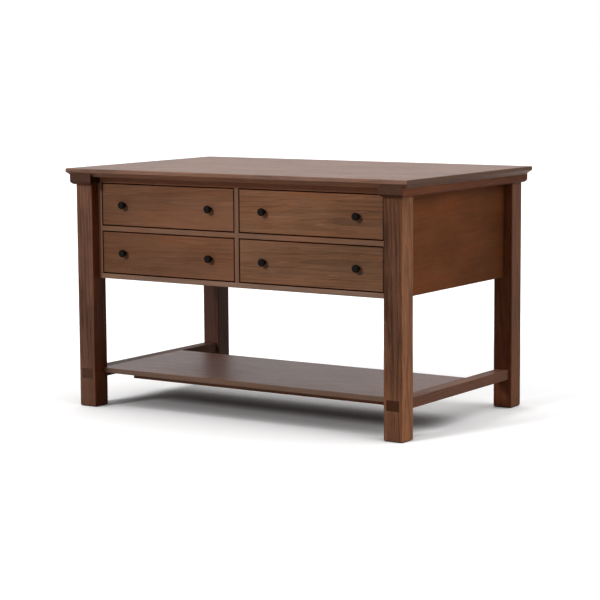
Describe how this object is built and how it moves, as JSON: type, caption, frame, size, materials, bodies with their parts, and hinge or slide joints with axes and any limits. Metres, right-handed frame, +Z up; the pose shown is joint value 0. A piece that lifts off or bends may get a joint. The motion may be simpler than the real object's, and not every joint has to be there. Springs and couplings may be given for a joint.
{
  "type": "kitchen island",
  "caption": "Free-standing kitchen island with a moulded wooden top on square legs, inset drawers on telescopic slides, closed ends, an open lower shelf and knee space behind.",
  "frame": {"origin": "on the floor, under the middle of the top", "axes": "+X along the island to the right as seen from the drawers, +Y from the drawers to the back, +Z up"},
  "size_m": [1.504, 0.926, 0.914],
  "materials": {
    "stained_wood": "satin",
    "drawer_wood": "satin",
    "dark_bronze": "satin",
    "zinc_steel": "satin",
    "nylon": "matte"
  },
  "bodies": {
    "frame": {"back_left_leg": "stained_wood", "back_panel": "stained_wood", "back_right_leg": "stained_wood", "back_top_rail": "stained_wood", "case_bottom": "stained_wood", "case_left_side": "stained_wood", "case_right_side": "stained_wood", "case_slide_rails": "zinc_steel", "centre_partition": "stained_wood", "foot_glides": "nylon", "front_left_leg": "stained_wood", "front_right_leg": "stained_wood", "front_top_rail": "stained_wood", "left_mid_rail": "stained_wood", "left_side_panel": "stained_wood", "left_stretcher": "stained_wood", "left_top_rail": "stained_wood", "lower_shelf": "stained_wood", "right_mid_rail": "stained_wood", "right_side_panel": "stained_wood", "right_stretcher": "stained_wood", "right_top_rail": "stained_wood", "shelf_battens": "stained_wood", "top_board": "stained_wood"},
    "upper_left_drawer": {"upper_left_drawer_back": "drawer_wood", "upper_left_drawer_bottom": "drawer_wood", "upper_left_drawer_front": "stained_wood", "upper_left_drawer_knob_screws": "zinc_steel", "upper_left_drawer_knobs": "dark_bronze", "upper_left_drawer_left_side": "drawer_wood", "upper_left_drawer_right_side": "drawer_wood", "upper_left_drawer_slide_rails": "zinc_steel"},
    "upper_left_drawer_middle_rails": {"upper_left_drawer_middle_rails": "zinc_steel"},
    "upper_right_drawer": {"upper_right_drawer_back": "drawer_wood", "upper_right_drawer_bottom": "drawer_wood", "upper_right_drawer_front": "stained_wood", "upper_right_drawer_knob_screws": "zinc_steel", "upper_right_drawer_knobs": "dark_bronze", "upper_right_drawer_left_side": "drawer_wood", "upper_right_drawer_right_side": "drawer_wood", "upper_right_drawer_slide_rails": "zinc_steel"},
    "upper_right_drawer_middle_rails": {"upper_right_drawer_middle_rails": "zinc_steel"},
    "lower_left_drawer": {"lower_left_drawer_back": "drawer_wood", "lower_left_drawer_bottom": "drawer_wood", "lower_left_drawer_front": "stained_wood", "lower_left_drawer_knob_screws": "zinc_steel", "lower_left_drawer_knobs": "dark_bronze", "lower_left_drawer_left_side": "drawer_wood", "lower_left_drawer_right_side": "drawer_wood", "lower_left_drawer_slide_rails": "zinc_steel"},
    "lower_left_drawer_middle_rails": {"lower_left_drawer_middle_rails": "zinc_steel"},
    "lower_right_drawer": {"lower_right_drawer_back": "drawer_wood", "lower_right_drawer_bottom": "drawer_wood", "lower_right_drawer_front": "stained_wood", "lower_right_drawer_knob_screws": "zinc_steel", "lower_right_drawer_knobs": "dark_bronze", "lower_right_drawer_left_side": "drawer_wood", "lower_right_drawer_right_side": "drawer_wood", "lower_right_drawer_slide_rails": "zinc_steel"},
    "lower_right_drawer_middle_rails": {"lower_right_drawer_middle_rails": "zinc_steel"}
  },
  "joints": [
    {"name": "upper_left_drawer_slide", "type": "slide", "parent": "frame", "child": "upper_left_drawer", "axis": [0, -1, 0], "range_m": [0, 0.4]},
    {"name": "upper_left_drawer_rails_slide", "type": "slide", "parent": "frame", "child": "upper_left_drawer_middle_rails", "axis": [0, -1, 0], "range_m": [0, 0.2]},
    {"name": "upper_right_drawer_slide", "type": "slide", "parent": "frame", "child": "upper_right_drawer", "axis": [0, -1, 0], "range_m": [0, 0.4]},
    {"name": "upper_right_drawer_rails_slide", "type": "slide", "parent": "frame", "child": "upper_right_drawer_middle_rails", "axis": [0, -1, 0], "range_m": [0, 0.2]},
    {"name": "lower_left_drawer_slide", "type": "slide", "parent": "frame", "child": "lower_left_drawer", "axis": [0, -1, 0], "range_m": [0, 0.4]},
    {"name": "lower_left_drawer_rails_slide", "type": "slide", "parent": "frame", "child": "lower_left_drawer_middle_rails", "axis": [0, -1, 0], "range_m": [0, 0.2]},
    {"name": "lower_right_drawer_slide", "type": "slide", "parent": "frame", "child": "lower_right_drawer", "axis": [0, -1, 0], "range_m": [0, 0.4]},
    {"name": "lower_right_drawer_rails_slide", "type": "slide", "parent": "frame", "child": "lower_right_drawer_middle_rails", "axis": [0, -1, 0], "range_m": [0, 0.2]}
  ],
  "couplings": [
    {"joint": "upper_left_drawer_rails_slide", "follows": "upper_left_drawer_slide", "ratio": 0.5},
    {"joint": "upper_right_drawer_rails_slide", "follows": "upper_right_drawer_slide", "ratio": 0.5},
    {"joint": "lower_left_drawer_rails_slide", "follows": "lower_left_drawer_slide", "ratio": 0.5},
    {"joint": "lower_right_drawer_rails_slide", "follows": "lower_right_drawer_slide", "ratio": 0.5}
  ]
}
